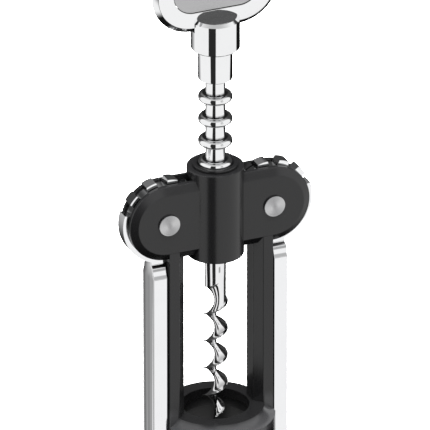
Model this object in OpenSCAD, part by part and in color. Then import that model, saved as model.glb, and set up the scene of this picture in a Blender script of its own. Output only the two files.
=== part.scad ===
// Lever corkscrew. Z = 0 is the plane it stands on, Z is up, and the levers swing in the XZ plane.

/* [Frame] */
// Height of the lever pivots above the base
pivot_z = 104; // [103:0.5:106]
// Distance of each lever pivot from the middle
pivot_x = 20.3; // [20.2:0.05:20.5]
// Radius of the ears' round ends
ear_r = 14.5; // [13.5:0.1:15]
// Thickness of the ears, front to back
ear_depth = 11.86; // [11:0.1:13]
// Width of the ears' bevel
ear_bevel = 2.9; // [1:0.1:3.5]
// Width of the slot that each lever turns in
slot_w = 5.7; // [5.6:0.05:6]
// Distance of the legs' inner face from the middle
leg_inner_x = 13.4; // [12.8:0.1:14]
// Distance of the legs' outer face from the middle
leg_outer_x = 20.05; // [19.5:0.05:20.2]
// Width of the legs' flat inner face
leg_inner_w = 6.4; // [4:0.1:8]

/* [Hub] */
// Radius of the hub
hub_r = 10.35; // [10:0.05:11]
// Depth of the hub below the pivots
hub_below = 17.2; // [17.1:0.1:18]
// Height of the hub above the pivots
hub_above = 17.7; // [17.2:0.1:18]
// Radius of the upper bush's lip
bush_lip_r = 8.3; // [7.9:0.1:9]
// Height of the upper bush's lip
bush_lip_h = 1.2; // [0.8:0.1:1.3]

/* [Bottle collar] */
// Height of the collar
collar_h = 26; // [24.5:0.5:26]
// Radius of the collar's skirt
collar_r = 21.6; // [21:0.1:22]
// Radius of the collar's flat top rim
rim_r = 17.7; // [17:0.1:18]
// Radius of the throat that the cork comes up through
throat_r = 12.3; // [11.5:0.1:12.6]
// Radius of the cup that fits over the bottle's lip
cup_r = 15.5; // [15:0.1:15.8]
// Depth of the cup
cup_depth = 18; // [16:0.5:19]

/* [Rack] */
// Distance from ring to ring
ring_pitch = 8.7; // [8.65:0.05:8.75]
// Number of rings
ring_count = 8; // [7:1:8]
// Outer radius of the rings and of the small collar
ring_r = 6.23; // [6.1:0.01:6.25]
// Radius of the rings' rounded section
ring_section_r = 1.62; // [1.4:0.02:1.65]
// Radius of the necks between the rings
neck_r = 3.6; // [3.4:0.05:3.65]
// Radial clearance of the rings in the guide bushes
guide_gap = 0.08; // [0.05:0.01:0.1]

/* [Levers] */
// Teeth that a full circle would hold
gear_teeth = 12; // [12:1:12]
// Radius over the teeth and the smooth rim
tip_r = 16.3; // [16.1:0.1:16.4]
// Radius between the teeth
root_r = 13.8; // [13.2:0.1:13.85]
// Thickness of the toothed disc
disc_t = 4.9; // [4.6:0.1:4.9]
// Width of the arm, front to back
arm_w = 10.4; // [9:0.1:11]
// Thickness of the arm
arm_t = 5.2; // [4.5:0.1:5.6]
// Height of the arm's end above the base
arm_end_z = 3; // [1:0.5:10]

/* [Screw] */
// Outer radius of the worm
worm_r = 4.6; // [4.2:0.1:4.8]
// Pitch of the worm
worm_pitch = 10.8; // [10:0.1:11.5]
// Height of the worm's point above the base
worm_tip_z = 19.6; // [19:0.2:22]
// Radius of the shank above the worm
shank_r = 3.87; // [3.7:0.01:3.9]

/* [Handle] */
// Radius of the handle's collar
hcollar_r = 8.83; // [8.5:0.05:9.2]
// Width of the handle ring
handle_w = 48.6; // [44:0.2:52]
// Height of the handle ring
handle_h = 30.8; // [28:0.2:34]
// Thickness of the handle ring
handle_t = 3.35; // [3:0.05:4]
// Width of the handle's band around its inlay
band_w = 7.7; // [6:0.1:9]
// Width of the bevel on the handle ring
handle_bevel = 1.9; // [1:0.1:2.2]

/* [Hidden] */
$fn = 96;
eps = 0.01;

// Frame
hub_top = pivot_z + hub_above;
hub_bottom = pivot_z - hub_below;
slot_r = tip_r + 0.7;
slot_notch = 0.75;
ear_bevel_deep = 1.6;
leg_depth = ear_depth;
bush_r = ring_r + guide_gap;
bush_outer_r = 7.6;
bush_h = 4;
press_gap = 0.03;

// Bottle collar
liner_outer_r = cup_r + 1.1;
liner_flange_h = 3.9;
liner_low = 0.5;
seat_z = liner_low + cup_depth;
liner_top = seat_z + liner_flange_h;
flare_x = 22.3;
flare_above = 1.6;
flare_r = 4.87;

// Rack, at rest with the levers down
gear_pitch_r = ring_pitch * gear_teeth / (2 * PI);
mesh_ring_z = 1.35;
top_ring = mesh_ring_z + 5 * ring_pitch;
small_collar_low = pivot_z + 52.3;
small_collar_top = pivot_z + 63.8;
sleeve_low = pivot_z - 19.6;
spindle_r = 2.5;
turning_gap = 0.08;
washer_t = 0.5;

// Gear, seen from the front
gap_angle = mesh_ring_z / gear_pitch_r * 180 / PI;
tooth_step = 360 / gear_teeth;
tooth_tip_w = 3.9;
tooth_root_w = 4.5;
rim_from = 162;
rim_to = 312;
pin_r = 2.5;
pin_head_r = 4.05;
pin_head_t = 0.85;
lever_bush_r = 3.6;
arm_inner = 0.4;
washer_gap = 0.05;

// Screw
shank_top = sleeve_low - washer_t;
flute_top = pivot_z - 31;
flute_full = pivot_z - 41;
worm_low_full = worm_tip_z + 9;
worm_step = 0.54;
worm_sides = 26;
crest_angle = 157.3;
crest_z = pivot_z - 42;
section_offset = 0.9;
section_min = 0.7;
stub_r = 3.3;
spindle_in_shank = 8;

// Handle
hcollar_low = small_collar_top + washer_t;
hcollar_top = pivot_z + 76.7;
ring_low = pivot_z + 72.1;
ring_mid = ring_low + handle_h / 2;
handle_bevel_deep = 1.5;
inlay_recess = 0.35;
grub_z = hcollar_low + 3.6;
grub_r = 1.5;

chrome = [0.86, 0.87, 0.88];
black = [0.07, 0.07, 0.075];

// A cylinder along Y between two depths, centred at x and z.
module y_cyl(r, from, to, x = 0, z = 0) {
    translate([x, to, z]) rotate([90, 0, 0]) cylinder(r = r, h = to - from);
}

// A disc with round ends in the XZ plane, bevelled all round on both faces.
module bevelled_stadium(span, r, depth, bevel, bevel_deep) {
    half = depth / 2;
    edge = half - bevel_deep;
    flat = r - bevel;
    rotate([90, 0, 90]) translate([0, 0, -span / 2]) linear_extrude(span)
        polygon([
            [-half, -flat], [-edge, -r], [edge, -r], [half, -flat],
            [half, flat], [edge, r], [-edge, r], [-half, flat]
        ]);
    for (side = [-1, 1])
        translate([side * span / 2, 0, 0]) rotate([90, side > 0 ? 90 : -90, 0])
            rotate_extrude(angle = 180)
                polygon([[0, -half], [flat, -half], [r, -edge], [r, edge], [flat, half], [0, half]]);
}

// A plain disc with round ends in the XZ plane.
module stadium(span, r, depth) {
    translate([0, depth / 2, 0]) rotate([90, 0, 0]) linear_extrude(depth)
        union() {
            square([span, 2 * r], center = true);
            for (side = [-1, 1]) translate([side * span / 2, 0]) circle(r);
        }
}

// A round bar along Z with small bevels at both ends.
module bevelled_bar(r, low, high, bevel) {
    rotate_extrude()
        polygon([
            [0, low], [r - bevel, low], [r, low + bevel],
            [r, high - bevel], [r - bevel, high], [0, high]
        ]);
}

// Half of the frame's slots: the space that one lever's disc turns in.
module lever_slot() {
    y_cyl(slot_r, -slot_w / 2, slot_w / 2, pivot_x, pivot_z);
    translate([hub_r - slot_notch, -slot_w / 2, pivot_z]) cube([2 * pivot_x, slot_w, ear_r + 0.5]);
}

module leg() {
    half_in = leg_inner_w / 2;
    half = leg_depth / 2;
    bevel_x = leg_inner_x + 3;
    low = collar_h - 5;
    translate([0, 0, low]) linear_extrude(pivot_z - ear_r + ear_bevel - low)
        polygon([
            [leg_inner_x, -half_in], [bevel_x, -half], [leg_outer_x, -half],
            [leg_outer_x, half], [bevel_x, half], [leg_inner_x, half_in]
        ]);
}

module collar_body() {
    difference() {
        bevelled_bar(collar_r, 0, collar_h, 0.6);
        rotate_extrude() translate([flare_x, collar_h + flare_above]) circle(flare_r);
        for (side = [-1, 1])
            translate([side * (leg_outer_x + 10), 0, collar_h / 2])
                cube([20, 60, 60], center = true);
    }
}

module frame_body() {
    color(black) difference() {
        union() {
            bevelled_bar(hub_r, hub_bottom, hub_top, 0.5);
            translate([0, 0, pivot_z])
                bevelled_stadium(2 * pivot_x, ear_r, ear_depth, ear_bevel, ear_bevel_deep);
            leg();
            mirror([1, 0, 0]) leg();
            collar_body();
        }
        lever_slot();
        mirror([1, 0, 0]) lever_slot();
        translate([0, 0, hub_bottom - 1]) cylinder(r = ring_r + 0.4, h = hub_top - hub_bottom + 2);
        for (low = [hub_bottom - 1, hub_top - bush_h])
            translate([0, 0, low]) cylinder(r = bush_outer_r + press_gap, h = bush_h + 1);
        translate([0, 0, seat_z]) cylinder(r = throat_r, h = collar_h);
        translate([0, 0, -1]) cylinder(r = liner_outer_r + press_gap, h = liner_top + 1);
        for (side = [-1, 1])
            y_cyl(pin_r + press_gap, -ear_depth, ear_depth, side * pivot_x, pivot_z);
    }
}

module upper_guide_bush() {
    color(black) difference() {
        union() {
            translate([0, 0, hub_top - bush_h + press_gap])
                cylinder(r = bush_outer_r, h = bush_h);
            bevelled_bar(bush_lip_r, hub_top, hub_top + bush_lip_h, 0.35);
        }
        translate([0, 0, hub_top - bush_h - 1]) cylinder(r = bush_r, h = bush_h + bush_lip_h + 2);
    }
}

module lower_guide_bush() {
    color(black) translate([0, 0, hub_bottom + 0.2]) difference() {
        cylinder(r = bush_outer_r, h = bush_h - 1.3);
        translate([0, 0, -1]) cylinder(r = bush_r, h = bush_h + 1);
    }
}

module bottle_seat_liner() {
    color([0.1, 0.1, 0.1]) difference() {
        translate([0, 0, liner_low]) cylinder(r = liner_outer_r, h = liner_top - liner_low);
        translate([0, 0, liner_low - 1]) cylinder(r = cup_r, h = cup_depth + 1);
        cylinder(r = throat_r + 0.5, h = liner_top + 1);
    }
}

// A pin through both ears, with its flat head in front.
module pivot_pin(x) {
    half = ear_depth / 2;
    color(chrome) {
        y_cyl(pin_r, -half - eps, half + 0.5, x, pivot_z);
        translate([x, 0, pivot_z]) rotate([90, 0, 0])
            bevelled_bar(pin_head_r, half, half + pin_head_t, 0.15);
    }
}

// The cap that is pressed on the pin's end, behind.
module pin_cap(x) {
    half = ear_depth / 2;
    color(chrome) difference() {
        translate([x, 0, pivot_z]) rotate([-90, 0, 0])
            bevelled_bar(pin_head_r, half, half + pin_head_t, 0.15);
        y_cyl(pin_r + press_gap, half - 1, half + 0.55, x, pivot_z);
    }
}

// Two washers that centre the lever between the ears.
module lever_washers(x) {
    inner = disc_t / 2 + washer_gap;
    color([0.9, 0.9, 0.88]) for (side = [-1, 1]) difference() {
        y_cyl(5.8, side > 0 ? inner : -slot_w / 2, side > 0 ? slot_w / 2 : -inner, x, pivot_z);
        y_cyl(pin_r + 0.05, -slot_w, slot_w, x, pivot_z);
    }
}

module lever_bush(x) {
    color([0.9, 0.9, 0.88]) difference() {
        y_cyl(lever_bush_r, -disc_t / 2, disc_t / 2, x, pivot_z);
        y_cyl(pin_r + turning_gap, -disc_t, disc_t, x, pivot_z);
    }
}

// The outline of the left gear: its root circle, its teeth and its smooth rim.
module gear_outline() {
    circle(root_r);
    for (i = [0 : 5])
        rotate(gap_angle + tooth_step * (i - 0.5))
            intersection() {
                polygon([
                    [0, -tooth_root_w / 2], [root_r, -tooth_root_w / 2],
                    [tip_r + 1, -tooth_tip_w / 2], [tip_r + 1, tooth_tip_w / 2],
                    [root_r, tooth_root_w / 2], [0, tooth_root_w / 2]
                ]);
                circle(tip_r);
            }
    intersection() {
        circle(tip_r);
        union() {
            for (a = [rim_from : 50 : rim_to - 50])
                polygon([
                    [0, 0],
                    [30 * cos(a), 30 * sin(a)],
                    [30 * cos(a + 50), 30 * sin(a + 50)]
                ]);
        }
    }
}

// The arm's thickness against its height, seen from the side, from the disc down.
module arm_side() {
    top = disc_t / 2;
    wide = arm_w / 2;
    end = arm_end_z - pivot_z;
    union() {
        polygon([
            [-top, -12], [-top, -15.2], [-top - 0.1, -16.6], [-3.9, -17.6], [-4.3, -19.5], [-wide, -21.5],
            [-wide, end + wide], [wide, end + wide], [wide, -21.5], [4.3, -19.5], [3.9, -17.6],
            [top + 0.1, -16.6], [top, -15.2], [top, -12]
        ]);
        translate([0, end + wide]) circle(wide);
    }
}

module left_lever_shape() {
    difference() {
        union() {
            translate([0, disc_t / 2, 0]) rotate([90, 0, 0]) linear_extrude(disc_t) gear_outline();
            translate([-arm_inner - arm_t, 0, 0]) rotate([90, 0, 90]) linear_extrude(arm_t) arm_side();
        }
        y_cyl(lever_bush_r + press_gap, -disc_t, disc_t);
    }
}

module left_lever() {
    color(chrome) translate([-pivot_x, 0, pivot_z]) left_lever_shape();
}

module right_lever() {
    color(chrome) translate([pivot_x, 0, pivot_z]) mirror([1, 0, 0]) left_lever_shape();
}

module rack_sleeve() {
    color(chrome) difference() {
        union() {
            translate([0, 0, sleeve_low]) cylinder(r = neck_r, h = small_collar_low - sleeve_low + 1);
            for (i = [0 : ring_count - 1])
                translate([0, 0, pivot_z + top_ring - i * ring_pitch])
                    rotate_extrude() translate([ring_r - ring_section_r, 0]) circle(ring_section_r);
            for (i = [0 : ring_count - 1])
                translate([0, 0, pivot_z + top_ring - i * ring_pitch - ring_section_r])
                    cylinder(r = ring_r - ring_section_r, h = 2 * ring_section_r);
            bevelled_bar(ring_r, small_collar_low, small_collar_top, 0.4);
        }
        translate([0, 0, sleeve_low - 1])
            cylinder(r = spindle_r + turning_gap, h = small_collar_top - sleeve_low + 2);
    }
}

module thrust_washer(low, outer_r) {
    color([0.75, 0.75, 0.75]) translate([0, 0, low + 0.03]) difference() {
        cylinder(r = outer_r, h = washer_t - 0.06);
        translate([0, 0, -1]) cylinder(r = spindle_r + turning_gap, h = 3);
    }
}

module upper_thrust_washer() {
    thrust_washer(small_collar_top, ring_r - 0.5);
}

module lower_thrust_washer() {
    thrust_washer(shank_top, neck_r);
}

module spindle() {
    low = shank_top - spindle_in_shank;
    color(chrome) bevelled_bar(spindle_r, low, ring_low - 1, 0.3);
}

// The worm's section is round at the shank and turns into a crest that winds down the groove.
groove_reach = worm_r - section_offset;
groove_r = (pow(worm_pitch / 2, 2) + pow(groove_reach - section_min, 2)) / (2 * (groove_reach - section_min));
function smooth(t) = let (u = min(max(t, 0), 1)) u * u * (3 - 2 * u);
function flute(z) = smooth((flute_top - z) / (flute_top - flute_full));
function taper(z) = z > worm_low_full ? 1 : 0.04 + 0.96 * sqrt(max(z - worm_tip_z, 0) / (worm_low_full - worm_tip_z));
function groove(a) = section_min + groove_r
    - sqrt(pow(groove_r, 2) - pow((abs(a) / 360 - 0.5) * worm_pitch, 2));
function worm_point(z, a) =
    let (
        turn = crest_angle + 360 * (z - crest_z) / worm_pitch,
        f = flute(z),
        k = taper(z),
        r = z > flute_top - 0.05 ? stub_r : shank_r,
        x = f * (section_offset + groove(a) * cos(a)) + (1 - f) * r * cos(a),
        y = f * groove(a) * sin(a) + (1 - f) * r * sin(a)
    )
    [k * (x * cos(turn) - y * sin(turn)), k * (x * sin(turn) + y * cos(turn)), z];

// Its top is a stub that reaches up into the shank's end.
module worm_flight() {
    top = flute_top + worm_step;
    rows = ceil((top - worm_tip_z) / worm_step);
    n = worm_sides;
    points = [
        for (i = [0 : rows]) for (k = [0 : n - 1])
            worm_point(worm_tip_z + (top - worm_tip_z) * i / rows, 360 * k / n)
    ];
    sides = [
        for (i = [0 : rows - 1]) for (k = [0 : n - 1])
            let (a = i * n + k, b = i * n + (k + 1) % n)
            each [[a, a + n, b], [b, a + n, b + n]]
    ];
    polyhedron(
        points = points,
        faces = concat(sides, [[for (k = [0 : n - 1]) k]], [[for (k = [n - 1 : -1 : 0]) rows * n + k]]),
        convexity = 8
    );
}

module worm() {
    color(chrome) {
        worm_flight();
        difference() {
            bevelled_bar(shank_r, flute_top, shank_top, 0.1);
            translate([0, 0, shank_top - spindle_in_shank - 0.1])
                cylinder(r = spindle_r + press_gap, h = spindle_in_shank + 1);
        }
    }
}

module handle_collar() {
    color(chrome) difference() {
        bevelled_bar(hcollar_r, hcollar_low, hcollar_top, 0.5);
        translate([-20, -handle_t / 2 - press_gap, ring_low - press_gap])
            cube([40, handle_t + 2 * press_gap, 20]);
        translate([0, 0, hcollar_low - 1]) cylinder(r = spindle_r + press_gap, h = ring_low - hcollar_low);
        y_cyl(grub_r + press_gap, 0, 20, 0, grub_z);
    }
}

module collar_grub_screw() {
    color([0.3, 0.3, 0.3]) difference() {
        y_cyl(grub_r, spindle_r, hcollar_r - 0.7, 0, grub_z);
        translate([0, hcollar_r, grub_z]) rotate([90, 0, 0]) cylinder(r = 0.85, h = 2.4, $fn = 6);
    }
}

module handle_ring() {
    span = handle_w - handle_h;
    color(chrome) translate([0, 0, ring_mid]) difference() {
        bevelled_stadium(span, handle_h / 2, handle_t, handle_bevel, handle_bevel_deep);
        stadium(span, handle_h / 2 - band_w, handle_t + 2);
    }
}

module inlay(side) {
    span = handle_w - handle_h;
    depth = handle_t / 2 - inlay_recess - 0.02;
    color([0.72, 0.72, 0.73])
        translate([0, side * (0.02 + depth / 2), ring_mid])
            stadium(span, handle_h / 2 - band_w - press_gap, depth);
}

frame_body();
upper_guide_bush();
lower_guide_bush();
bottle_seat_liner();
pivot_pin(-pivot_x);  // left_pivot_pin
pivot_pin(pivot_x);  // right_pivot_pin
pin_cap(-pivot_x);  // left_pin_cap
pin_cap(pivot_x);  // right_pin_cap
lever_washers(-pivot_x);  // left_lever_washers
lever_washers(pivot_x);  // right_lever_washers
left_lever();
right_lever();
lever_bush(-pivot_x);  // left_lever_bush
lever_bush(pivot_x);  // right_lever_bush
rack_sleeve();
upper_thrust_washer();
lower_thrust_washer();
spindle();
worm();
handle_collar();
collar_grub_screw();
handle_ring();
inlay(-1);  // front_inlay
inlay(1);  // back_inlay
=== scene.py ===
# %% [markdown]
# # A lever corkscrew
#
# The real tool has a black moulded frame, two chrome levers that end in gear teeth, a chrome rack made of round
# rings, and a steel worm under a ring handle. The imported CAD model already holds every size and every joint. This
# lesson rebuilds each visible piece around it with rounded edges and real finishes. The frame is loaded first, so
# that every later step can ask it where a part lies.

# %% Load the frame
import math

import bmesh
import bpy
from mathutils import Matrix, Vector


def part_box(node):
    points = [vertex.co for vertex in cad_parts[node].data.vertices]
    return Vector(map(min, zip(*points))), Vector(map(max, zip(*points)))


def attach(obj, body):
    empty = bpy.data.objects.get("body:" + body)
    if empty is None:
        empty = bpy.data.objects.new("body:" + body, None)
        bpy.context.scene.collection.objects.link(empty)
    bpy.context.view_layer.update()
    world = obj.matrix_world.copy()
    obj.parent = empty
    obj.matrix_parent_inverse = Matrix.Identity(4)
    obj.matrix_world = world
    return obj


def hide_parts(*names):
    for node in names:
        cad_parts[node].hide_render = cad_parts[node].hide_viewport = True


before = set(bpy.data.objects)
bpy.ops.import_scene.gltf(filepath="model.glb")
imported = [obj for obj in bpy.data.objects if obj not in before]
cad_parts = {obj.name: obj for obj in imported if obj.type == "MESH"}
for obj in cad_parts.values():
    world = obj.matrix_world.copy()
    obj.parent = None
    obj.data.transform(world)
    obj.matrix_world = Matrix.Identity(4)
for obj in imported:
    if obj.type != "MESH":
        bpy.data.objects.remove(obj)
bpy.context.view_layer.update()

# %% [markdown]
# ## Reading sizes from the frame
#
# A maker measures the parts on the bench before cutting anything. Here the boxes of the CAD nodes are the bench:
# the pivots, the hub, the collars and the worm are all read from them, in millimetres. The few sizes that a box
# cannot show, such as a chamfer, are named where they are first needed.

# %% Main sizes, in millimetres
MM = 0.001
THROUGH = 9  # half the length of a cutter that goes right through


def span(node, axis):
    """Lowest and highest value of a CAD node along an axis, in millimetres."""
    low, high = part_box(node)
    return low["xyz".index(axis)] / MM, high["xyz".index(axis)] / MM


def middle(node, axis):
    return sum(span(node, axis)) / 2


pivot_x = middle("right_pivot_pin", "x")
pivot_z = middle("right_pivot_pin", "z")
hub_low = pivot_z - 17.2
lip_top = span("upper_guide_bush", "z")[1]
hub_top = lip_top - 1.2
hub_r = 10.35
collar_h = 26.0
print("pivots at", round(pivot_x, 2), round(pivot_z, 2), "hub", round(hub_low, 2), round(hub_top, 2))

# %% [markdown]
# ## The camera
#
# The tool is seen from the front left and a little above, from so far away that its upright edges stay parallel.
# A very long lens does that. The camera looks at a point on the worm's axis just below the lever pivots.

# %% Camera
view_azimuth = math.radians(-22.7)
view_elevation = math.radians(26.5)
view_scale = 430 / (2.8 * 1000)
lens = 1600.0
sensor = 36.0
aim = Vector((-0.0001, 0, (pivot_z - 2.5) * MM))

to_camera = Vector((
    math.sin(view_azimuth) * math.cos(view_elevation),
    -math.cos(view_azimuth) * math.cos(view_elevation),
    math.sin(view_elevation),
))
camera_data = bpy.data.cameras.new("camera")
camera_data.lens = lens
camera_data.sensor_width = sensor
camera_data.clip_end = 50
camera = bpy.data.objects.new("camera", camera_data)
camera.location = aim + to_camera * (view_scale * lens / sensor)
camera.rotation_euler = to_camera.to_track_quat("Z", "Y").to_euler()
bpy.context.scene.collection.objects.link(camera)
bpy.context.scene.camera = camera
print("camera distance, m:", round((camera.location - aim).length, 2))

# %% [markdown]
# ## Small tools for modelling by hand
#
# Each operator works on whatever is selected, so a piece starts with nothing selected. `pick` selects faces, edges
# or points by a test on their place or normal, as a modeller clicks on them.

# %% Selecting and finishing


def deselect():
    if bpy.context.mode != "OBJECT":
        bpy.ops.object.mode_set(mode="OBJECT")
    bpy.ops.object.select_all(action="DESELECT")


def grab(piece):
    deselect()
    piece.select_set(True)
    bpy.context.view_layer.objects.active = piece


def edit(piece):
    grab(piece)
    bpy.ops.object.mode_set(mode="EDIT")


def pick(piece, kind, test):
    """Selects the verts, edges or faces for which test(place in mm, normal) is true, in edit mode."""
    modes = {"verts": "VERT", "edges": "EDGE", "faces": "FACE"}
    bpy.ops.mesh.select_mode(type=modes[kind])
    bpy.ops.mesh.select_all(action="DESELECT")
    mesh = bmesh.from_edit_mesh(piece.data)
    for item in getattr(mesh, kind):
        if kind == "verts":
            place, normal = item.co, item.normal
        elif kind == "edges":
            place, normal = (item.verts[0].co + item.verts[1].co) / 2, item.verts[1].co - item.verts[0].co
        else:
            place, normal = item.calc_center_median(), item.normal
        item.select_set(bool(test(place / MM, normal)))
    mesh.select_flush_mode()
    bmesh.update_edit_mesh(piece.data)


def apply_place(piece):
    grab(piece)
    bpy.ops.object.transform_apply(location=True, rotation=True, scale=True)


def close_up(piece, smooth=35):
    """Merges doubled points, turns the faces outwards and shades round faces smooth."""
    apply_place(piece)
    edit(piece)
    bpy.ops.mesh.select_all(action="SELECT")
    bpy.ops.mesh.remove_doubles(threshold=0.002 * MM)
    bpy.ops.mesh.normals_make_consistent(inside=False)
    bpy.ops.object.mode_set(mode="OBJECT")
    bpy.ops.object.shade_smooth_by_angle(angle=math.radians(smooth))
    return piece


# %% [markdown]
# ## Modifiers
#
# A bevel rounds sharp edges, because no real edge is perfectly sharp and a small round catches the light. A boolean
# welds two shells or cuts one from the other. Weighted normals keep large flat faces flat next to their rounded
# edges, which matters most on chrome.

# %% Modifier helpers


def apply_modifier(piece, kind, **settings):
    grab(piece)
    modifier = piece.modifiers.new(kind.lower(), kind)
    for name, value in settings.items():
        setattr(modifier, name, value)
    bpy.ops.object.modifier_apply(modifier=modifier.name)
    return piece


def round_edges(piece, width, segments=3, angle=20):
    return apply_modifier(
        piece, "BEVEL", width=width * MM, segments=segments, limit_method="ANGLE",
        angle_limit=math.radians(angle), use_clamp_overlap=True, miter_outer="MITER_ARC",
    )


def combine(piece, other, how="UNION"):
    apply_modifier(piece, "BOOLEAN", operation=how, object=other, solver="EXACT")
    bpy.data.objects.remove(other)
    return piece


def keep_flats(piece):
    return apply_modifier(piece, "WEIGHTED_NORMAL", mode="FACE_AREA", weight=100, keep_sharp=True)


def report(piece):
    low = [min(v.co[i] for v in piece.data.vertices) / MM for i in range(3)]
    high = [max(v.co[i] for v in piece.data.vertices) / MM for i in range(3)]
    size = [round(b - a, 2) for a, b in zip(low, high)]
    shell = bmesh.new()
    shell.from_mesh(piece.data)
    gaps = sum(1 for edge in shell.edges if len(edge.link_faces) != 2)
    volume = shell.calc_volume() / MM ** 3
    shell.free()
    print(f"{piece.name}: {len(piece.data.polygons)} faces, {size} mm, {volume:.1f} mm3, open edges {gaps}")


# %% [markdown]
# ## Turning
#
# Bushes, rings, pins and collars are turned parts. The same thing is done here: a circle is drawn at the foot of the
# outline, and it is extruded and resized up the outline, point by point. `soften` first rounds the outline's
# corners, as a file does on the lathe.

# %% Lathe


def soften(points, radius, steps=4, ends=False):
    """Rounds the corners of an outline of (radius, height) points with short arcs."""
    result = [] if ends else [points[0]]
    inner = range(len(points)) if ends else range(1, len(points) - 1)
    for i in inner:
        here = Vector(points[i])
        before, after = Vector(points[i - 1]), Vector(points[(i + 1) % len(points)])
        a, b = (before - here), (after - here)
        reach = min(radius, a.length * 0.45, b.length * 0.45)
        start, end = here + a.normalized() * reach, here + b.normalized() * reach
        for k in range(steps + 1):
            t = k / steps
            spot = start * (1 - t) ** 2 + here * 2 * t * (1 - t) + end * t ** 2
            result.append((spot.x, spot.y))
    return result if ends else result + [points[-1]]


def arc(centre_r, centre_h, radius, start, end, steps):
    """Points of (radius, height) on an arc, with its angles in degrees from the outward direction."""
    turns = [math.radians(start + (end - start) * k / steps) for k in range(steps + 1)]
    return [(centre_r + radius * math.cos(t), centre_h + radius * math.sin(t)) for t in turns]


POLE = 0.004


def turned(name, outline, sides=96):
    """Extrudes a circle up an outline. A pole is drawn together, and an outline that closes makes a tube."""
    deselect()
    radius, height = outline[0]
    bpy.ops.mesh.primitive_circle_add(vertices=sides, radius=radius * MM, location=(0, 0, height * MM))
    piece = bpy.context.object
    piece.name = piece.data.name = name
    apply_place(piece)
    edit(piece)
    bpy.ops.mesh.select_all(action="SELECT")
    for next_radius, next_height in outline[1:]:
        rise = (0, 0, (next_height - height) * MM)
        bpy.ops.mesh.extrude_edges_move(TRANSFORM_OT_translate={"value": rise})
        scale = next_radius / radius
        bpy.ops.transform.resize(value=(scale, scale, 1), center_override=(0, 0, next_height * MM))
        radius, height = next_radius, next_height
    for end_radius, end_height in (outline[0], outline[-1]):
        if end_radius <= POLE:
            pick(piece, "verts", lambda p, n: p.xy.length < 2 * POLE and abs(p.z - end_height) < 0.01)
            bpy.ops.mesh.merge(type="CENTER")
    return close_up(piece)


def tube(name, inner, outer, low, high, edge=0.15, sides=96):
    """A plain ring with softened edges."""
    corners = [(inner, low), (outer, low), (outer, high), (inner, high)]
    outline = soften(corners, edge, ends=True)
    return turned(name, outline + [outline[0]], sides)


def laid(piece, x, z, facing):
    """Lays a turned piece along Y at a pivot, with its top to the front (-1) or to the back (1)."""
    piece.rotation_euler = (math.radians(90 if facing < 0 else -90), 0, 0)
    piece.location = (x * MM, 0, z * MM)
    apply_place(piece)
    return piece


# %% [markdown]
# ## Plates with round ends
#
# The ears of the frame and the handle ring are flat plates with round ends. A cylinder lying on its side becomes one
# when its right half and its left half are pulled apart. Insetting the front face and raising it makes a chamfer.

# %% Round-ended plates


def round_plate(name, reach, radius, front, back, z, sides=128):
    """A plate between two depths, whose round ends are centred at plus and minus reach."""
    deselect()
    bpy.ops.mesh.primitive_cylinder_add(
        vertices=sides, radius=radius * MM, depth=(back - front) * MM,
        rotation=(math.radians(90), math.radians(180 / sides), 0),
    )
    piece = bpy.context.object
    piece.name = piece.data.name = name
    piece.location = (0, (front + back) / 2 * MM, z * MM)
    apply_place(piece)
    edit(piece)
    for side in (-1, 1):
        pick(piece, "verts", lambda p, n: p.x * side > 0.01)
        bpy.ops.transform.translate(value=(side * reach * MM, 0, 0))
    bpy.ops.object.mode_set(mode="OBJECT")
    return piece


def raise_face(piece, facing, width, depth):
    """Insets the front (-1) or back (1) face and raises it, which leaves a chamfer all round."""
    edit(piece)
    pick(piece, "faces", lambda p, n: n.y * facing > 0.9)
    bpy.ops.mesh.inset(thickness=width * MM, depth=depth * MM)
    bpy.ops.object.mode_set(mode="OBJECT")
    return piece


def block(name, low, high):
    """A box between two corners."""
    deselect()
    centre = [(a + b) / 2 * MM for a, b in zip(low, high)]
    bpy.ops.mesh.primitive_cube_add(size=1, location=centre)
    piece = bpy.context.object
    piece.name = piece.data.name = name
    piece.scale = [(b - a) * MM for a, b in zip(low, high)]
    apply_place(piece)
    return piece


def rod(name, radius, low, high, at=(0, 0), along="z", sides=96):
    """A plain cylinder, mostly used to cut holes."""
    deselect()
    middle_at = (low + high) / 2
    place = (at[0], at[1], middle_at) if along == "z" else (at[0], middle_at, at[1])
    bpy.ops.mesh.primitive_cylinder_add(
        vertices=sides, radius=radius * MM, depth=(high - low) * MM,
        location=[v * MM for v in place], rotation=(0 if along == "z" else math.radians(90), 0, 0),
    )
    piece = bpy.context.object
    piece.name = piece.data.name = name
    apply_place(piece)
    return piece


# %% [markdown]
# ## The frame
#
# On the real tool this is one moulding. It could be carved from a block, but it reads more clearly as the shapes it
# is made of: a hub, one bevelled plate for both ears, two legs and a flared bottle collar. Each is softened by
# itself, then they are welded, and the slots and bores are cut last. Each stepped bore is cut in one go.

# %% Ears
ear_r = 14.5
ear_front = 5.93
ear_bevel = (2.9, 1.6)
slot_half = 2.85


def ear_plate():
    """Both ears as one plate with a wide chamfer in front and behind."""
    outer = ear_front - ear_bevel[1]
    plate = round_plate("ear", pivot_x, ear_r, -outer, outer, pivot_z)
    raise_face(plate, -1, *ear_bevel)
    raise_face(plate, 1, *ear_bevel)
    return round_edges(plate, 0.3)


# %% Hub and legs
hub_outline = [(POLE, hub_low), (hub_r, hub_low), (hub_r, hub_top), (POLE, hub_top)]
leg_inner, leg_outer, leg_half = 13.4, 20.03, ear_front - 0.02
leg_chamfer = 2.85


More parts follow.
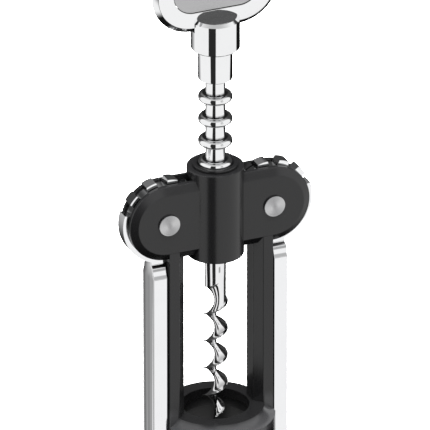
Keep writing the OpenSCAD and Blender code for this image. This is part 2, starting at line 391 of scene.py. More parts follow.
def leg(side):
    """One leg, chamfered along its two inner edges."""
    inner, outer = sorted((side * leg_inner, side * leg_outer))
    bar = block("leg", (inner, -leg_half, collar_h - 5), (outer, leg_half, pivot_z - ear_r + 2.9))
    edit(bar)
    pick(bar, "edges", lambda p, n: abs(p.x) < leg_inner + 0.1 and abs(p.y) > leg_half - 0.1 and abs(n.z) > abs(n.y))
    bpy.ops.mesh.bevel(offset=leg_chamfer * MM, segments=1, affect="EDGES")
    bpy.ops.object.mode_set(mode="OBJECT")
    return round_edges(bar, 0.25)


# %% Bottle collar
collar_r, rim_r, throat_r = 21.6, 17.7, 12.3
collar_flat = 20.05
collar_sides = 126  # the weld to the legs leaves gaps with 120 or 128
flare = arc(22.3, collar_h + 1.6, 4.87, 261.7, 199.2, 10)
seat_z, liner_top = 18.5, 22.4
liner_r = 16.6


def bottle_collar():
    """The flared collar, turned, then cut flat beside each lever."""
    skirt = soften([(POLE, 0), (collar_r, 0), (collar_r, flare[0][1])], 0.7)
    rim = soften([flare[-1], (rim_r - 0.02, collar_h), (POLE, collar_h)], 0.35)
    collar = turned("collar", skirt[:-1] + flare + rim[1:], collar_sides)
    for side in (-1, 1):
        edit(collar)
        bpy.ops.mesh.select_all(action="SELECT")
        bpy.ops.mesh.bisect(
            plane_co=(side * collar_flat * MM, 0, 0), plane_no=(side, 0, 0), use_fill=True, clear_outer=True,
        )
        bpy.ops.object.mode_set(mode="OBJECT")
    return close_up(collar)


# %% Weld and bore the frame
slot_r = 17.0
bush_r, bore_r, pin_r = 7.63, 6.63, 2.53
bush_deep, lip_deep = 3, 4
cutter_sides = 98


def make_frame():
    body = turned("frame_moulding", soften(hub_outline, 0.6), 128)
    for part in (ear_plate(), leg(-1), leg(1), bottle_collar()):
        combine(body, part)
    for side in (-1, 1):
        x = side * pivot_x
        combine(body, rod("slot", slot_r, -slot_half, slot_half, (x, pivot_z), "y", 160), "DIFFERENCE")
        inner, outer = sorted((side * (hub_r - 0.75), side * 2 * pivot_x))
        notch = block("notch", (inner, -slot_half + 0.01, pivot_z), (outer, slot_half - 0.01, pivot_z + ear_r + 0.5))
        combine(body, notch, "DIFFERENCE")
        combine(body, rod("pin hole", pin_r, -THROUGH, THROUGH, (x, pivot_z), "y"), "DIFFERENCE")
    low_step, top_step = hub_low + bush_deep, hub_top - lip_deep
    bore = [(POLE, hub_low - 2), (bush_r, hub_low - 2), (bush_r, low_step), (bore_r, low_step)]
    bore += [(bore_r, top_step), (bush_r, top_step), (bush_r, hub_top + 2), (POLE, hub_top + 2)]
    combine(body, turned("bore", bore, cutter_sides), "DIFFERENCE")
    pocket_r = liner_r + 0.03
    mouth = [(POLE, -2), (pocket_r, -2), (pocket_r, liner_top), (throat_r, liner_top)]
    mouth += [(throat_r, collar_h + 2), (POLE, collar_h + 2)]
    combine(body, turned("mouth", mouth, cutter_sides), "DIFFERENCE")
    close_up(body, 28)
    return keep_flats(body)


frame_moulding = make_frame()
report(frame_moulding)

# %% [markdown]
# ## Guide bushes and the seat
#
# The upper bush stands proud of the hub as a raised lip, with a small chamfer that leads the rack in. The lower bush
# and the seat in the collar are plain rings. They are separate mouldings on the real tool, so they stay separate.

# %% Bushes and liner
guide_r, bush_outer = 6.31, 7.6
cup_r = 15.5
lip_outer = 8.3
lip_corners = [
    (guide_r, hub_top - 3.95), (bush_outer, hub_top - 3.95), (bush_outer, hub_top + 0.02),
    (lip_outer, hub_top + 0.02), (lip_outer, lip_top), (guide_r + 0.55, lip_top), (guide_r, lip_top - 0.5),
]
lip_outline = soften(lip_corners, 0.22, ends=True)
upper_bush = turned("upper_bush", lip_outline + [lip_outline[0]], 128)
lower_bush = tube("lower_bush", guide_r, bush_outer, hub_low + 0.2, hub_low + 2.9)
seat_corners = [
    (cup_r, 0.5), (liner_r, 0.5), (liner_r, liner_top - 0.02), (throat_r + 0.5, liner_top - 0.02),
    (throat_r + 0.5, seat_z), (cup_r, seat_z),
]
seat_outline = soften(seat_corners, 0.3, ends=True)
bottle_seat = turned("bottle_seat", seat_outline + [seat_outline[0]], 128)
for made in (upper_bush, lower_bush, bottle_seat):
    report(made)

# %% [markdown]
# ## Pivot pins
#
# Each pin is a rivet: a shank through both ears and a flat round head, faced on a lathe. Fine rings left by that
# facing cut are real geometry here, a few hundredths of a millimetre deep, so the head glints like a spun disc. Its
# colour adds a painted bow-tie highlight on top of that.

# %% Pins and caps
head_r = 4.05
head_low, head_top = ear_front, span("left_pin_cap", "y")[1]


def head_outline(steps=9):
    """The head from its edge to its middle: a rounded rim, then shallow turning rings and a centre dimple."""
    rim = soften([(head_r, head_low), (head_r, head_top - 0.02), (head_r - 0.6, head_top)], 0.25)
    rings = []
    for k in range(steps):
        radius = (head_r - 0.75) * (1 - k / steps)
        rings += [(radius, head_top - 0.012), (radius - 0.16, head_top)]
    return rim + rings + [(0.12, head_top - 0.05), (POLE, head_top - 0.06)]


def pivot_pin(name, side):
    shank = [(POLE, -ear_front - 0.45), (2.3, -ear_front - 0.45), (2.5, -ear_front - 0.25), (2.5, head_low)]
    return laid(turned(name, shank + head_outline()), side * pivot_x, pivot_z, -1)


def pin_cap(name, side):
    socket = [(POLE, ear_front + 0.5), (pin_r, ear_front + 0.5), (pin_r, head_low)]
    return laid(turned(name, socket + head_outline()), side * pivot_x, pivot_z, 1)


pins = {side: pivot_pin(f"{word}_pin", side) for side, word in ((-1, "left"), (1, "right"))}
caps = {side: pin_cap(f"{word}_cap", side) for side, word in ((-1, "left"), (1, "right"))}
report(pins[-1])

# %% Washers and lever bushes
disc_half = 2.45
washer_inner, washer_outer = 2.55, 5.8


def lever_washers(name, side):
    def ring(part, facing):
        shell = tube(part, washer_inner, washer_outer, disc_half + 0.05, slot_half, 0.05)
        return laid(shell, side * pivot_x, pivot_z, facing)

    front, back = ring(name, -1), ring(name + "_back", 1)
    deselect()
    back.select_set(True)
    front.select_set(True)
    bpy.context.view_layer.objects.active = front
    bpy.ops.object.join()
    return front


washers = {side: lever_washers(f"{word}_washers", side) for side, word in ((-1, "left"), (1, "right"))}
lever_bushes = {
    side: laid(tube(f"{word}_bush", 2.58, 3.6, -disc_half, disc_half), side * pivot_x, pivot_z, 1)
    for side, word in ((-1, "left"), (1, "right"))
}
report(washers[-1])

# %% [markdown]
# ## The levers
#
# A lever is a die casting: a disc with six teeth and a smooth rim, and a square arm that thickens below the ears in
# three facets. The disc is a short cylinder: six teeth are drawn out of its edge one by one, and then the smooth rim.
# The arm starts as a block whose top is extruded upwards and narrowed. Its foot is bevelled round before the crown is
# cut in strips, because a bevel wider than a strip folds the mesh over itself and the weld then fails.

# %% Gear sizes
tip_r, root_r = 16.3, 13.8
tooth_step, gear_teeth = 30.0, 12
ring_pitch = 8.7
mesh_ring_z = 1.35
pitch_r = ring_pitch * gear_teeth / (2 * math.pi)
gap_angle = math.degrees(mesh_ring_z / pitch_r)
rim_from, rim_to = 162.0, 312.0
tooth_root_w, tooth_tip_w = 4.32, 3.85
eye_r = 3.63


def turn_blank(blank, degrees):
    """Turns the blank about its eye, anticlockwise when seen from the front."""
    blank.rotation_euler = (0, -math.radians(degrees), 0)
    apply_place(blank)


def bearing_of(place):
    return math.degrees(math.atan2(place.z, place.x)) % 360


def gear_disc(name):
    """A disc with six teeth, drawn out one by one, and a smooth rim over the rest."""
    disc = rod(name, root_r, -disc_half, disc_half, (0, 0), "y", 180)
    turn_blank(disc, 1)
    for _ in range(6):
        edit(disc)
        pick(disc, "faces", lambda p, n: abs(n.y) < 0.5 and abs(math.degrees(math.atan2(p.z, p.x))) < 9)
        bpy.ops.mesh.extrude_region_move(TRANSFORM_OT_translate={"value": ((tip_r - 0.03 - root_r) * MM, 0, 0)})
        bpy.ops.transform.resize(value=(1, 1, tooth_tip_w / tooth_root_w), center_override=(0, 0, 0))
        turn_blank(disc, -tooth_step)
    turn_blank(disc, gap_angle - tooth_step / 2 + 6 * tooth_step)
    edit(disc)
    pick(disc, "faces", lambda p, n: abs(n.y) < 0.5 and rim_from < bearing_of(p) < rim_to)
    bpy.ops.mesh.extrude_region_move()
    grow = tip_r / root_r
    bpy.ops.transform.resize(value=(grow, 1, grow), center_override=(0, 0, 0))
    bpy.ops.object.mode_set(mode="OBJECT")
    return round_edges(disc, 0.4, 4)


# %% Arm
arm_inner, arm_outer = 0.4, 5.6
arm_half = 5.2
arm_crown = 0.16
arm_low = span("left_lever", "z")[0] - pivot_z
facets = [(-21.5, 5.2), (-19.5, 4.3), (-17.6, 3.9), (-16.6, 2.55), (-15.2, 2.4), (-11.0, 2.0)]


def arm():
    """The arm, from its rounded foot up to the facets under the ear."""
    bar = block("arm", (-arm_outer, -arm_half, arm_low), (-arm_inner, arm_half, facets[0][0]))
    edit(bar)
    half, height = arm_half, facets[0][0]
    pick(bar, "faces", lambda p, n: n.z > 0.9)
    for next_height, next_half in facets[1:]:
        bpy.ops.mesh.extrude_region_move(TRANSFORM_OT_translate={"value": (0, 0, (next_height - height) * MM)})
        bpy.ops.transform.resize(value=(1, next_half / half, 1), center_override=(0, 0, next_height * MM))
        half, height = next_half, next_height
    pick(bar, "edges", lambda p, n: p.z < arm_low + 0.1 and abs(p.y) > arm_half - 0.1 and abs(n.x) > abs(n.y))
    bpy.ops.mesh.bevel(offset=(arm_half - 0.02) * MM, segments=14, affect="EDGES")
    for cut in (-3.9, -2.6, -1.3, 0, 1.3, 2.6, 3.9):
        bpy.ops.mesh.select_all(action="SELECT")
        bpy.ops.mesh.bisect(plane_co=(0, cut * MM, 0), plane_no=(0, 1, 0))
        pick(bar, "verts", lambda p, n: p.x < -arm_outer + 0.01 and abs(p.y - cut) < 0.01)
        bpy.ops.transform.translate(value=(-arm_crown * (1 - (cut / arm_half) ** 2) * MM, 0, 0))
    bpy.ops.object.mode_set(mode="OBJECT")
    return round_edges(bar, 0.35, 3)


# %% Put one lever together and mirror it


def make_lever():
    lever = gear_disc("left_lever_casting")
    combine(lever, arm())
    combine(lever, rod("eye", eye_r, -THROUGH, THROUGH, (0, 0), "y"), "DIFFERENCE")
    lever.location = (-pivot_x * MM, 0, pivot_z * MM)
    close_up(lever, 32)
    return keep_flats(lever)


left_lever = make_lever()
right_lever = left_lever.copy()
right_lever.data = left_lever.data.copy()
right_lever.name = right_lever.data.name = "right_lever_casting"
bpy.context.scene.collection.objects.link(right_lever)
right_lever.scale = (-1, 1, 1)
close_up(right_lever, 32)
keep_flats(right_lever)
report(left_lever)

# %% [markdown]
# ## The rack
#
# The rack is a hollow sleeve with eight rounded rings that the gear teeth push on, and a small collar on top. Turning
# makes it in one pass: up the outside, ring by ring, and back down the bore.

# %% Rack sleeve
sleeve_low, sleeve_top = span("rack_sleeve", "z")
ring_r, ring_section, neck_r, sleeve_bore = 6.23, 1.62, 3.6, 2.58
top_ring = pivot_z + mesh_ring_z + 5 * ring_pitch
small_collar_low = pivot_z + 52.3


def rack_outline():
    points = [(sleeve_bore, sleeve_low), (neck_r, sleeve_low)]
    middle_r = ring_r - ring_section
    for k in range(7, -1, -1):
        z = top_ring - k * ring_pitch
        points += [(neck_r, z - ring_section - 0.5), (neck_r + 0.1, z - ring_section - 0.15)]
        points += arc(middle_r, z, ring_section, -110, 110, 20)
        points += [(neck_r + 0.1, z + ring_section + 0.15), (neck_r, z + ring_section + 0.5)]
    collar = [
        (neck_r, small_collar_low), (ring_r, small_collar_low), (ring_r, sleeve_top), (sleeve_bore, sleeve_top),
    ]
    return points + soften(collar, 0.4) + [points[0]]


rack = turned("rack_sleeve_turned", rack_outline(), 128)
upper_washer = tube("upper_washer", 2.58, 5.73, sleeve_top + 0.03, sleeve_top + 0.47, 0.06)
lower_washer = tube("lower_washer", 2.58, 3.6, sleeve_low - 0.47, sleeve_low - 0.03, 0.06)
report(rack)

# %% [markdown]
# ## The worm
#
# A worm is ground from a round bar: a wheel cuts one deep groove that winds down it and leaves a thin right-handed
# blade. No extrude gives that surface, so its points come from the grinding itself. At each height the section is a
# comma that reaches from the axis to the crest, and each next section is turned a little further.

# %% Worm
worm_low, worm_top = span("worm", "z")
shank_r, worm_r, worm_pitch = 3.87, 4.6, 10.8
spindle_hole_r = 2.53
crest_z, crest_angle = pivot_z - 42.0, 157.3
groove_depth_at = (pivot_z - 35.6, pivot_z - 32.8)
section_offset, core_r = 0.5, 0.93
flight_full_z = worm_low + 9.0


def blend(t):
    t = min(max(t, 0.0), 1.0)
    return t * t * (3 - 2 * t)


def worm_point(z, turn):
    """A point on the worm's surface at a height, turn degrees round from the crest."""
    crest = shank_r + (worm_r - shank_r) * blend((pivot_z - 33.0 - z) / 3.6)
    reach = crest - section_offset
    across = turn / 180 - 1
    ground = core_r + (reach - core_r) * (1 - math.sqrt(max(1 - across ** 2, 0.0)))
    groove_z = z + across * worm_pitch / 2
    cut = blend((groove_depth_at[1] - groove_z) / (groove_depth_at[1] - groove_depth_at[0]))
    angle = math.radians(turn)
    x = cut * (section_offset + ground * math.cos(angle)) + (1 - cut) * shank_r * math.cos(angle)
    y = cut * ground * math.sin(angle) + (1 - cut) * shank_r * math.sin(angle)
    point = min(1.0, 0.03 + 0.97 * math.sqrt(max(z - worm_low, 0) / (flight_full_z - worm_low)))
    wind = math.radians(crest_angle + 360 * (z - crest_z) / worm_pitch)
    return Vector((
        point * (x * math.cos(wind) - y * math.sin(wind)),
        point * (x * math.sin(wind) + y * math.cos(wind)),
        z,
    )) * MM


def make_worm(sides=72, step=0.16):
    top = pivot_z - 27.0
    rows = round((top - worm_low) / step)
    heights = [worm_low + (top - worm_low) * k / rows for k in range(rows + 1)]
    points = [worm_point(z, 360 * k / sides) for z in heights for k in range(sides)]
    for z, shrink in ((worm_top - 0.25, 1.0), (worm_top, 0.95)):
        heights.append(z)
        points += [Vector((p.x * shrink, p.y * shrink, z * MM)) for p in points[rows * sides:(rows + 1) * sides]]
    faces = []
    for row in range(len(heights) - 1):
        for k in range(sides):
            a, b = row * sides + k, row * sides + (k + 1) % sides
            faces.append((a, b, b + sides, a + sides))
    faces.append(tuple(reversed(range(sides))))
    last = (len(heights) - 1) * sides
    faces.append(tuple(range(last, last + sides)))
    mesh = bpy.data.meshes.new("worm_ground")
    mesh.from_pydata(points, [], faces)
    piece = bpy.data.objects.new("worm_ground", mesh)
    bpy.context.scene.collection.objects.link(piece)
    return close_up(piece, 50)


worm = make_worm()
combine(worm, rod("spindle hole", spindle_hole_r, worm_top - 8.1, worm_top + 2), "DIFFERENCE")
spindle_low, spindle_top = span("spindle", "z")
spindle_outline = [(POLE, spindle_low), (2.5, spindle_low), (2.5, spindle_top), (POLE, spindle_top)]
spindle = turned("spindle_rod", soften(spindle_outline, 0.3), 64)
report(worm)

# %% [markdown]
# ## The handle
#
# The collar is turned and slotted, and the ring handle is pressed into the slot. The ring is a bevelled plate with a
# grey inlay let into its window on both faces. A small grub screw at the back locks the spindle.

# %% Handle collar
hc_low, hc_top = span("handle_collar", "z")
hc_r, hc_chamfer, hc_foot = 8.83, 1.05, 0.45
ring_low, ring_high = span("handle_ring", "z")
ring_reach = (span("handle_ring", "x")[1] - (ring_high - ring_low) / 2)
ring_half = span("handle_ring", "y")[1]
ring_end_r = (ring_high - ring_low) / 2
ring_z = (ring_low + ring_high) / 2
grub_z = middle("collar_grub_screw", "z")


def make_handle_collar():
    outline = [
        (POLE, hc_low), (hc_r - hc_foot, hc_low), (hc_r, hc_low + hc_foot),
        (hc_r, hc_top - hc_chamfer), (hc_r - hc_chamfer, hc_top), (POLE, hc_top),
    ]
    collar = turned("handle_collar_turned", outline, 160)
    slot = ring_half + 0.03
    combine(collar, block("slot", (-20, -slot, ring_low - 0.03), (20, slot, hc_top + 5)), "DIFFERENCE")
    combine(collar, rod("spindle hole", spindle_hole_r, hc_low - 2, ring_low - 1), "DIFFERENCE")
    combine(collar, rod("grub hole", 1.53, 0, 20, (0, grub_z), "y", 48), "DIFFERENCE")
    close_up(collar, 32)
    return keep_flats(collar)


def make_grub_screw():
    """A short threaded screw with a six-sided socket."""
    deep, face = span("collar_grub_screw", "y")
    profile = [(POLE, deep), (1.1, deep)]
    turns = int((face - deep - 0.5) / 0.5)
    for k in range(turns):
        profile += [(1.5, deep + 0.3 + k * 0.5), (1.28, deep + 0.55 + k * 0.5)]
    profile += [(1.48, face - 0.1), (1.3, face), (POLE, face)]
    screw = laid(turned("grub_screw", profile, 48), 0, grub_z, 1)
    combine(screw, rod("socket", 0.85, face - 1.6, face + 1, (0, grub_z), "y", 6), "DIFFERENCE")
    return close_up(screw)


handle_collar = make_handle_collar()
grub_screw = make_grub_screw()
report(handle_collar)

# %% Ring handle and inlays
band_w = 7.7
ring_bevel = (1.9, 1.5)
inlay_recess, inlay_gap = 0.35, 0.2


def make_ring_handle():
    edge = ring_half - ring_bevel[1]
    ring = round_plate("ring_handle", ring_reach, ring_end_r, -edge, edge, ring_z, 160)
    raise_face(ring, -1, *ring_bevel)
    raise_face(ring, 1, *ring_bevel)
    window = round_plate("window", ring_reach, ring_end_r - band_w, -THROUGH, THROUGH, ring_z, 160)
    combine(ring, window, "DIFFERENCE")
    round_edges(ring, 0.22, 3, 22)
    close_up(ring, 40)
    return keep_flats(ring)


def make_inlay(name, facing):
    face = ring_half - inlay_recess
    front, back = (-face, -0.02) if facing < 0 else (0.02, face)
    inlay = round_plate(name, ring_reach, ring_end_r - band_w - inlay_gap, front, back, ring_z, 160)
    round_edges(inlay, 0.12, 2, 40)
    close_up(inlay, 40)
    return keep_flats(inlay)


ring_handle = make_ring_handle()
inlays = {-1: make_inlay("front_inlay_plate", -1), 1: make_inlay("back_inlay_plate", 1)}
report(ring_handle)

# %% [markdown]
# ## Shader maths as plain expressions
#
# Materials are built from nodes, but sums are easier to read as Python. `Value` wraps a socket, and each operator
# adds the Math node for it. `Nodes.add` makes any other node from its type, its settings and its inputs.

# %% Shader helpers


class Value:
    """A number that varies over a surface: a node socket with the usual operators."""

    def __init__(self, nodes, socket):
        self.nodes, self.socket = nodes, socket

    def math(self, operation, *others):
        node = self.nodes.tree.nodes.new("ShaderNodeMath")
        node.operation = operation
        for slot, item in zip(node.inputs, (self, *others)):
            self.nodes.plug(slot, item)
        return Value(self.nodes, node.outputs[0])

    def __add__(self, other):
        return self.math("ADD", other)

    def __sub__(self, other):
        return self.math("SUBTRACT", other)

    def __mul__(self, other):
        return self.math("MULTIPLY", other)

    def __rsub__(self, other):
        return self.math("MULTIPLY", -1.0) + other

    def __truediv__(self, other):
        return self.math("DIVIDE", other)

    def clamp(self):
        return self.math("MAXIMUM", 0.0).math("MINIMUM", 1.0)

    def step(self, low, high):
        """Rises smoothly from 0 to 1 between two values."""
        node = self.nodes.tree.nodes.new("ShaderNodeMapRange")
        node.interpolation_type = "SMOOTHSTEP"
        for name, item in (("Value", self), ("From Min", low), ("From Max", high)):
            self.nodes.plug(node.inputs[name], item)
        return Value(self.nodes, node.outputs[0])

    __radd__ = __add__
    __rmul__ = __mul__


class Nodes:
    """A node tree under construction."""

    def __init__(self, tree):
        self.tree = tree

    def plug(self, slot, item):
        if isinstance(item, Value):
            item = item.socket
        if isinstance(item, bpy.types.NodeSocket):
            self.tree.links.new(item, slot)
        else:
            slot.default_value = item

    def add(self, kind, settings=None, output=0, **inputs):
        """Makes a node, sets its settings and then its inputs, and returns one output as a Value."""
        node = self.tree.nodes.new(kind)
        for name, value in (settings or {}).items():
            setattr(node, name, value)
        for name, value in inputs.items():
            slots = [slot for slot in node.inputs if slot.name == name.replace("_", " ") and slot.enabled]
            self.plug(slots[0], value)
        return Value(self, node.outputs[output])


def new_material(name, colour, metallic, roughness):
    """A principled material with its constants set on the shader itself."""
    material = bpy.data.materials.new(name)
    material.use_nodes = True
    nodes = Nodes(material.node_tree)
    shader = material.node_tree.nodes["Principled BSDF"]
    shader.inputs["Base Color"].default_value = (*colour, 1)
    shader.inputs["Metallic"].default_value = metallic
    shader.inputs["Roughness"].default_value = roughness
    place = nodes.add("ShaderNodeTexCoord", output=3)
    return material, nodes, shader, place


def stretched(nodes, place, scale):
    return nodes.add("ShaderNodeMapping", Vector=place, Scale=scale)


def noise(nodes, place, scale, detail=3.0):
    return nodes.add("ShaderNodeTexNoise", Vector=place, Scale=scale, Detail=detail)


def bump(nodes, shader, height, strength, distance):
    normal = nodes.add("ShaderNodeBump", Height=height, Strength=strength, Distance=distance * MM)
    nodes.plug(shader.inputs["Normal"], normal)


# %% [markdown]
# ## Chrome
#
# Polished chrome is almost a mirror. What makes it real is how slightly it fails to be one: faint smears from
# fingers that dull it in patches, and a very shallow ripple from polishing before it was plated.

# %% Chrome finishes


def chrome(name, colour, roughness, smear, ripple, painted_shade=None):
    """Plated metal. An optional mask darkens the colour with painted shade in tight corners, such as the roots of the
    rack's rings.
    """
    material, nodes, shader, place = new_material(name, colour, 1.0, roughness)
    patches = noise(nodes, place, 90.0).step(0.45, 0.75)
    fine = noise(nodes, stretched(nodes, place, (1, 1, 0.12)), 2600.0, 2.0)
    nodes.plug(shader.inputs["Roughness"], roughness + smear * patches * fine)
    tone = nodes.add(
        "ShaderNodeMix", {"data_type": "RGBA"}, output=2, Factor=patches * 0.5,
    )
    mix = tone.socket.node
    mix.inputs[6].default_value = (*colour, 1)
    mix.inputs[7].default_value = (*[c * 0.965 for c in colour], 1)
    # Painted shade: the mask mixes the colour towards dark grey where shade falls in tight corners.
    if painted_shade:
        tone = nodes.add("ShaderNodeMix", {"data_type": "RGBA"}, output=2, Factor=painted_shade(nodes, place), A=tone)
        tone.socket.node.inputs[7].default_value = (0.16, 0.16, 0.165, 1)
    nodes.plug(shader.inputs["Base Color"], tone)
    bump(nodes, shader, noise(nodes, place, 160.0, 1.0), ripple, 0.02)
    return material


def split(nodes, place):
    parts = nodes.tree.nodes.new("ShaderNodeSeparateXYZ")
    nodes.plug(parts.inputs[0], place)
    return [Value(nodes, socket) for socket in parts.outputs]


def ring_root_shade(nodes, place):
    """Mask for painted shade in the roots just above and below each rack ring: 1 there, 0 elsewhere."""
    x, y, z = split(nodes, place)
    radius = (x * x + y * y).math("SQRT") / MM
    from_ring = ((z / MM - top_ring + 7 * ring_pitch) / ring_pitch + 0.5).math("FRACT") - 0.5
    from_ring = from_ring.math("ABSOLUTE") * ring_pitch
    inner = 1 - radius.step(4.3, 5.0)
    near = from_ring.step(0.6, 1.3) * (1 - from_ring.step(1.5, 2.6))
    below_top = 1 - (z / MM).step(top_ring + 2.6, top_ring + 3.0)
    return inner * near * below_top


plated = (0.93, 0.935, 0.94)
chrome_rack = chrome("rack_chrome", plated, 0.035, 0.05, 0.05, ring_root_shade)
chrome_turned = chrome("turned_chrome", plated, 0.035, 0.05, 0.05)
chrome_cast = chrome("cast_chrome", (0.93, 0.935, 0.945), 0.05, 0.06, 0.08)
chrome_worm = chrome("ground_steel", (0.90, 0.90, 0.905), 0.05, 0.06, 0.05)

# %% [markdown]
# ## Black moulding
#
# The frame is a satin black plastic: nearly black underneath, with a soft shine on top. Its mould was spark-eroded,
# so it has a very fine grain, and handling has polished it unevenly.

# %% Black finishes


def leg_sides(nodes, place):
    """1 on the flat outer sides of the legs and collar, which handling never polishes."""
    x, y, z = split(nodes, place)
    return (x / MM).math("ABSOLUTE").step(19.9, 20.0) * (1 - (z / MM).step(88, 89))


def shoulder_sheen(nodes, place):
    """1 on the flared top of the collar, whose colour is lightened there as painted sheen."""
    x, y, z = split(nodes, place)
    radius = (x * x + y * y).math("SQRT") / MM
    return radius.step(rim_r - 0.3, rim_r + 0.5) * (z / MM).step(19, 22) * (1 - (z / MM).step(27, 31))


def black_moulding(name, colour, roughness, grain, rough_where=None, sheen_where=None):
    material, nodes, shader, place = new_material(name, colour, 0.0, roughness)
    grit = noise(nodes, place, 5200.0, 2.0)
    handled = noise(nodes, place, 55.0, 4.0)
    rough = roughness - 0.05 + 0.1 * handled
    if rough_where:
        rough = rough + 0.55 * rough_where(nodes, place)
    nodes.plug(shader.inputs["Roughness"], rough)
    tone = nodes.add("ShaderNodeMix", {"data_type": "RGBA"}, output=2, Factor=handled)
    mix = tone.socket.node
    mix.inputs[6].default_value = (*colour, 1)
    mix.inputs[7].default_value = (*[c * 1.35 for c in colour], 1)
    # Painted sheen: the collar's flared top is lightened towards grey, varied by the handling noise.
    if sheen_where:
        grey = sheen_where(nodes, place) * (0.6 + 0.6 * handled)
        tone = nodes.add("ShaderNodeMix", {"data_type": "RGBA"}, output=2, Factor=grey.clamp(), A=tone)
        tone.socket.node.inputs[7].default_value = (*[c * 4.5 for c in colour], 1)
    nodes.plug(shader.inputs["Base Color"], tone)
    bump(nodes, shader, grit, grain, 0.01)
    return material


black_satin = black_moulding("black_satin", (0.0065, 0.0065, 0.0068), 0.23, 0.2, leg_sides, shoulder_sheen)
black_smooth = black_moulding("black_smooth", (0.006, 0.006, 0.0063), 0.22, 0.12)
black_seat = black_moulding("black_seat", (0.006, 0.006, 0.0062), 0.38, 0.3)

# %% [markdown]
# ## Spun, brushed and plain finishes
#
# The pin heads are faced on a lathe, so their scratches run in circles round each pivot. The inlays are brushed from
# side to side. Nylon washers and bushes are milky and dull, and the grub screw is oiled black steel.

# %% Other finishes


def spun_with_painted_glint(name, x):
    """Satin metal whose fine rings are centred on one pivot, with a painted bow-tie highlight in its colour."""
    material, nodes, shader, place = new_material(name, (0.5, 0.5, 0.505), 1.0, 0.3)
    centred = nodes.add("ShaderNodeMapping", Vector=place, Location=(-x * MM, 0, -pivot_z * MM))
    across, _, up = split(nodes, centred)
    radius = (across * across + up * up).math("SQRT")
    rings = noise(nodes, nodes.add("ShaderNodeCombineXYZ", X=radius), 9000.0, 2.0)
    nodes.plug(shader.inputs["Roughness"], 0.16 + 0.14 * rings)
    # Painted highlight: two opposite sectors of the head are lighter in colour, standing in for the glint of the
    # turning rings.
    sweep = up.math("ARCTAN2", across)
    painted_bow_tie = ((sweep * 2 + 0.9).math("SINE") * 0.5 + 0.5) * radius.step(0.0002, 0.0016)
    tone = nodes.add("ShaderNodeMix", {"data_type": "RGBA"}, output=2, Factor=painted_bow_tie * 0.7 + 0.3 * rings)
    tone.socket.node.inputs[6].default_value = (0.36, 0.36, 0.365, 1)
    tone.socket.node.inputs[7].default_value = (0.62, 0.62, 0.625, 1)
    nodes.plug(shader.inputs["Base Color"], tone)
    bump(nodes, shader, rings, 1.0, 0.06)
    return material


def brushed(name, colour, roughness, scale, depth):
    """Satin metal brushed from side to side."""
    material, nodes, shader, place = new_material(name, colour, 1.0, roughness)
    lines = noise(nodes, stretched(nodes, place, scale), 1400.0, 3.0)
    tone = nodes.add("ShaderNodeMix", {"data_type": "RGBA"}, output=2, Factor=lines)
    mix = tone.socket.node
    mix.inputs[6].default_value = (*[c * 0.97 for c in colour], 1)
    mix.inputs[7].default_value = (*[c * 1.03 for c in colour], 1)
    nodes.plug(shader.inputs["Base Color"], tone)
    nodes.plug(shader.inputs["Roughness"], roughness - 0.04 + 0.08 * lines)
    bump(nodes, shader, lines, depth, 0.01)
    return material


def nylon(name):
    material, nodes, shader, place = new_material(name, (0.78, 0.78, 0.75), 0.0, 0.5)
    cloud = noise(nodes, place, 400.0)
    nodes.plug(shader.inputs["Roughness"], 0.45 + 0.12 * cloud)
    bump(nodes, shader, cloud, 0.2, 0.02)
    return material


spun_pins = {side: spun_with_painted_glint(f"spun_{word}", side * pivot_x) for side, word in ((-1, "left"), (1, "right"))}
inlay_satin = brushed("inlay_satin", (0.53, 0.53, 0.535), 0.34, (0.02, 1, 1), 0.15)
plain_steel = brushed("plain_steel", (0.55, 0.55, 0.56), 0.3, (1, 1, 0.05), 0.2)
white_nylon = nylon("white_nylon")
oiled_black = brushed("oiled_black", (0.03, 0.03, 0.032), 0.4, (1, 1, 1), 0.2)
print("materials:", len(bpy.data.materials))

# %% [markdown]
# ## Fitting the pieces to the frame
#
# Every piece rides on the body that carries it, stands for the CAD node it was made from, and takes that node's
# finish. One table says it all, so that nothing is forgotten.

# %% Assembly table
assembly = [
    (frame_moulding, "frame", "frame_body", "frame_black", black_satin),
    (upper_bush, "frame", "upper_guide_bush", "bush_black", black_smooth),
    (lower_bush, "frame", "lower_guide_bush", "bush_black", black_smooth),
    (bottle_seat, "frame", "bottle_seat_liner", "liner_black", black_seat),
    (pins[-1], "frame", "left_pivot_pin", "pin_satin", spun_pins[-1]),
    (pins[1], "frame", "right_pivot_pin", "pin_satin", spun_pins[1]),
    (caps[-1], "frame", "left_pin_cap", "pin_satin", spun_pins[-1]),
    (caps[1], "frame", "right_pin_cap", "pin_satin", spun_pins[1]),
    (washers[-1], "frame", "left_lever_washers", "white_nylon", white_nylon),
    (washers[1], "frame", "right_lever_washers", "white_nylon", white_nylon),
    (left_lever, "left_arm", "left_lever", "lever_chrome", chrome_cast),
    (right_lever, "right_arm", "right_lever", "lever_chrome", chrome_cast),
    (lever_bushes[-1], "left_arm", "left_lever_bush", "white_nylon", white_nylon),
    (lever_bushes[1], "right_arm", "right_lever_bush", "white_nylon", white_nylon),
    (rack, "rack", "rack_sleeve", "rack_chrome", chrome_rack),
    (upper_washer, "rack", "upper_thrust_washer", "washer_steel", plain_steel),
    (lower_washer, "rack", "lower_thrust_washer", "washer_steel", plain_steel),
    (spindle, "screw", "spindle", "spindle_steel", plain_steel),
    (worm, "screw", "worm", "worm_chrome", chrome_worm),
    (handle_collar, "screw", "handle_collar", "handle_chrome", chrome_turned),
    (grub_screw, "screw", "collar_grub_screw", "screw_black", oiled_black),
    (ring_handle, "screw", "handle_ring", "handle_chrome", chrome_turned),
    (inlays[-1], "screw", "front_inlay", "inlay_grey", inlay_satin),
    (inlays[1], "screw", "back_inlay", "inlay_grey", inlay_satin),
]
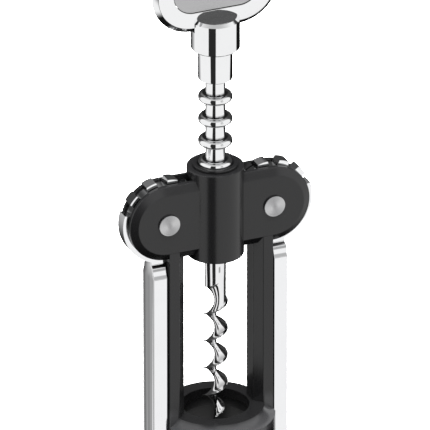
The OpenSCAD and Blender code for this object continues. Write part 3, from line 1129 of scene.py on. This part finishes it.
for piece, body, node, slot, material in assembly:
    piece.data.materials.clear()
    piece.data.materials.append(material)
    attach(piece, body)
    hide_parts(node)
print("pieces fitted:", len(assembly))

# %% [markdown]
# ## The studio
#
# Chrome shows what stands round it more than it shows itself. The studio is a white table under soft light, with
# dark gaps between its reflectors: one narrow gap near the camera, small dark cards to the right of it and a dim room
# behind the tool. The gaps draw the thin black bands on the round parts. The world paints these reflectors, and a pale
# floor carries the shadow. From a low angle the painted room can be seen behind the tool.

# %% World
toward = Vector((math.sin(view_azimuth), -math.cos(view_azimuth), 0))
rightward = Vector((math.cos(view_azimuth), math.sin(view_azimuth), 0))


def make_world():
    world = bpy.data.worlds.new("studio")
    world.use_nodes = True
    bpy.context.scene.world = world
    nodes = Nodes(world.node_tree)
    direction = nodes.add("ShaderNodeTexCoord", output=0)

    def along(axis):
        dot = nodes.add("ShaderNodeVectorMath", {"operation": "DOT_PRODUCT"}, output=1)
        nodes.plug(dot.socket.node.inputs[0], direction)
        dot.socket.node.inputs[1].default_value = axis
        return dot

    near, right, up = along(toward), along(rightward), along((0, 0, 1))
    bearing = right.math("ARCTAN2", near) * (180 / math.pi)
    height = up.math("ARCSINE") * (180 / math.pi)

    def band(value, low, high, soft):
        return value.step(low - soft, low + soft) * (1 - value.step(high - soft, high + soft))

    left_fade = ((bearing + 180) / 70).clamp().math("POWER", 3.2)
    table = 0.93 * left_fade * (1 - bearing.step(114, 118)) * height.step(-62, -46)
    front = band(bearing, -112, 112, 6) * (0.93 - 0.4 * height.step(38, 66))
    gap = band(bearing, -31, 3, 1.5) * (1 - height.step(40, 55))
    rear = 0.045 + 0.3 * height.step(38, 60) + 0.12 * band(bearing, -176, -140, 5) * height.step(22, 32)
    above = front + (1 - band(bearing, -112, 112, 6)) * rear
    mixed = table + (above - table) * height.step(-12, -2)
    mixed = mixed * (1 - gap * 0.985)
    card = band(bearing, 35, 53, 2)
    mixed = mixed * (1 - card * band(height, -10, 2, 1.5) * 0.6)
    mixed = mixed * (1 - card * band(height, 12, 21, 1) * 0.5)
    mixed = mixed * (1 - band(bearing, 37, 54, 3) * band(height, 23, 31, 2) * 0.9) + 0.008
    background = world.node_tree.nodes["Background"]
    colour = nodes.add("ShaderNodeCombineColor", Red=mixed, Green=mixed, Blue=mixed)
    nodes.plug(background.inputs["Color"], colour)


make_world()

# %% Floor and lights
bpy.context.scene.view_settings.view_transform = "Standard"
deselect()
bpy.ops.mesh.primitive_plane_add(size=12)
floor = bpy.context.object
floor.name = "floor"
floor.visible_glossy = False
floor.visible_diffuse = False
floor_finish, floor_nodes, floor_shader, floor_place = new_material("pale_floor", (0.93, 0.93, 0.93), 0.0, 0.9)
floor_nodes.plug(floor_shader.inputs["Roughness"], 0.85 + 0.1 * noise(floor_nodes, floor_place, 30.0))
floor.data.materials.append(floor_finish)


def soft_light(name, place, size, power):
    """A large square lamp that aims at the tool and stays out of its reflections."""
    data = bpy.data.lights.new(name, "AREA")
    data.size, data.energy = size, power
    lamp = bpy.data.objects.new(name, data)
    lamp.location = place
    lamp.rotation_euler = (Vector(place) - aim).to_track_quat("Z", "Y").to_euler()
    lamp.visible_glossy = False
    bpy.context.scene.collection.objects.link(lamp)


soft_light("overhead", (0.0, -0.1, 2.2), 2.4, 260)
soft_light("left_fill", (-1.6, -1.0, 1.2), 1.2, 12)
soft_light("right_fill", (1.6, -1.0, 1.2), 1.2, 12)
